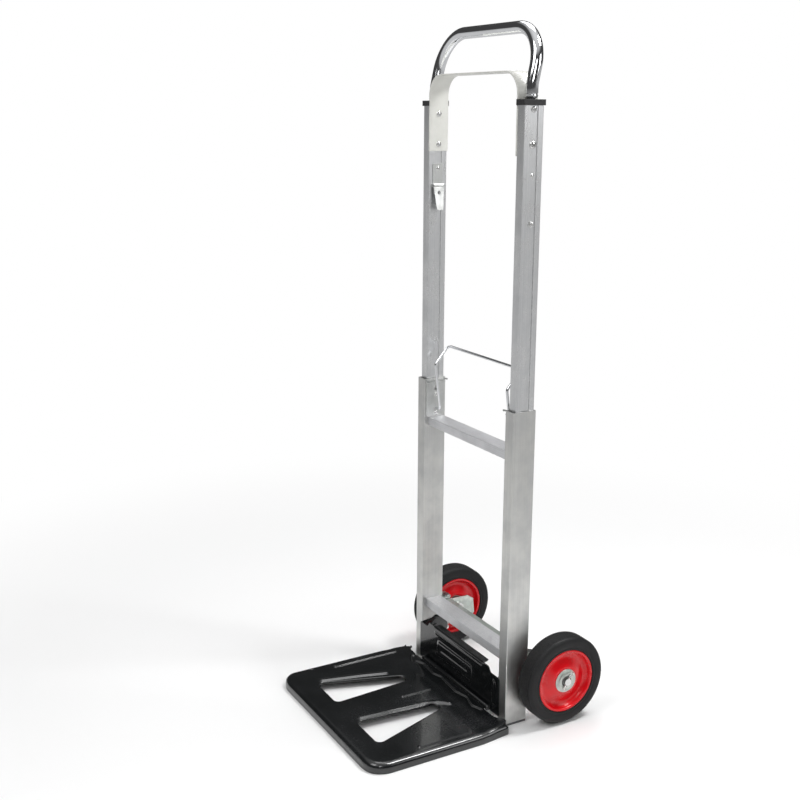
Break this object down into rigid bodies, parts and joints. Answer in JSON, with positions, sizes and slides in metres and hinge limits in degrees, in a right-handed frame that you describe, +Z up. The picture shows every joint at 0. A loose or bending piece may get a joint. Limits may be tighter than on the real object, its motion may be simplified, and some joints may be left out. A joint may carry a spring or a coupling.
{
  "type": "hand truck",
  "caption": "Folding hand truck: telescopic aluminium frame with chrome handle, swing-up black steel toe plate and swing-in rubber-tyred wheels.",
  "frame": {"origin": "on the floor, under the centre of the whole truck's box", "axes": "+X to the truck's right seen from the toe plate, +Y from the toe plate towards the wheels, +Z up the rails"},
  "size_m": [0.382, 0.4296, 1.1133],
  "materials": {
    "lower_aluminium": "satin extruded aluminium, fine lengthwise streaks",
    "upper_aluminium": "brighter satin extruded aluminium with a groove",
    "latch_sheet": "bright pressed sheet",
    "black_plastic": "moulded black plastic",
    "grey_plastic": "moulded grey plastic",
    "black_enamel": "glossy black enamel",
    "zinc_plate": "zinc-plated steel",
    "bright_steel": "bright steel",
    "polished_chrome": "polished chrome plate",
    "white_enamel": "satin off-white enamel",
    "tyre_rubber": "black rubber",
    "red_enamel": "glossy red enamel"
  },
  "bodies": {
    "lower_frame": {"lower_rail_left": "lower_aluminium", "lower_rail_right": "lower_aluminium", "foot_plug_left": "grey_plastic", "foot_plug_right": "grey_plastic", "rail_guide_left": "grey_plastic", "rail_guide_right": "grey_plastic", "middle_crossbar": "lower_aluminium", "lower_crossbar": "lower_aluminium", "crossbar_screws": "bright_steel", "latch_plate_left": "latch_sheet", "latch_plate_right": "latch_sheet", "latch_rivets": "bright_steel", "back_plate": "black_enamel", "back_plate_rivets": "black_enamel", "toe_hinge_pin": "zinc_plate", "wheel_beam": "zinc_plate", "beam_rivets": "zinc_plate", "swing_pin_left": "zinc_plate", "swing_pin_right": "zinc_plate"},
    "upper_frame": {"upper_rail_left": "upper_aluminium", "upper_rail_right": "upper_aluminium", "rail_glide_left": "grey_plastic", "rail_glide_right": "grey_plastic", "rail_cap_left": "black_plastic", "rail_cap_right": "black_plastic", "handle": "polished_chrome", "strap_bracket": "white_enamel", "strap_rivets": "bright_steel", "handle_screws": "bright_steel", "catch_hook_left": "bright_steel", "catch_hook_right": "bright_steel", "hook_rivets": "bright_steel", "stop_pins": "bright_steel"},
    "release_bail": {"release_bail": "polished_chrome"},
    "lock_button_left": {"lock_button_left": "bright_steel"},
    "lock_button_right": {"lock_button_right": "bright_steel"},
    "toe_plate": {"toe_plate": "black_enamel"},
    "wheel_arm_left": {"swing_bracket_left": "zinc_plate", "axle_left": "bright_steel", "fold_spring_left": "bright_steel", "axle_washers_left": "zinc_plate", "cotter_pin_left": "bright_steel"},
    "wheel_left": {"tyre_left": "tyre_rubber", "rim_outer_left": "red_enamel", "rim_inner_left": "red_enamel", "hub_left": "zinc_plate"},
    "wheel_arm_right": {"swing_bracket_right": "zinc_plate", "axle_right": "bright_steel", "fold_spring_right": "bright_steel", "axle_washers_right": "zinc_plate", "cotter_pin_right": "bright_steel"},
    "wheel_right": {"tyre_right": "tyre_rubber", "rim_outer_right": "red_enamel", "rim_inner_right": "red_enamel", "hub_right": "zinc_plate"}
  },
  "joints": [
    {"name": "telescope", "type": "slide", "parent": "lower_frame", "child": "upper_frame", "axis": [0, 0, 1], "range_m": [-0.28, 0]},
    {"name": "bail_tilt", "type": "hinge", "parent": "lower_frame", "child": "release_bail", "pos_m": [0, 0.07075, 0.48], "axis": [1, 0, 0], "range_deg": [0, 25]},
    {"name": "button_left", "type": "slide", "parent": "upper_frame", "child": "lock_button_left", "axis": [-1, 0, 0], "range_m": [0, 0.003]},
    {"name": "button_right", "type": "slide", "parent": "upper_frame", "child": "lock_button_right", "axis": [1, 0, 0], "range_m": [0, 0.003]},
    {"name": "toe_fold", "type": "hinge", "parent": "lower_frame", "child": "toe_plate", "pos_m": [0, 0.04175, 0.017], "axis": [-1, 0, 0], "range_deg": [0, 90]},
    {"name": "wheel_fold_left", "type": "hinge", "parent": "lower_frame", "child": "wheel_arm_left", "pos_m": [-0.132, 0.10325, 0.08], "axis": [0, 0, -1], "range_deg": [0, 90]},
    {"name": "wheel_fold_right", "type": "hinge", "parent": "lower_frame", "child": "wheel_arm_right", "pos_m": [0.132, 0.10325, 0.08], "axis": [0, 0, 1], "range_deg": [0, 90]},
    {"name": "wheel_spin_left", "type": "hinge", "parent": "wheel_arm_left", "child": "wheel_left", "pos_m": [-0.1695, 0.13975, 0.078], "axis": [1, 0, 0], "continuous": true},
    {"name": "wheel_spin_right", "type": "hinge", "parent": "wheel_arm_right", "child": "wheel_right", "pos_m": [0.1695, 0.13975, 0.078], "axis": [1, 0, 0], "continuous": true}
  ],
  "couplings": [
    {"joint": "wheel_fold_left", "follows": "toe_fold", "ratio": 1},
    {"joint": "wheel_fold_right", "follows": "toe_fold", "ratio": 1},
    {"joint": "button_left", "follows": "bail_tilt", "m_per_rad": 0.00687},
    {"joint": "button_right", "follows": "bail_tilt", "m_per_rad": 0.00687}
  ]
}
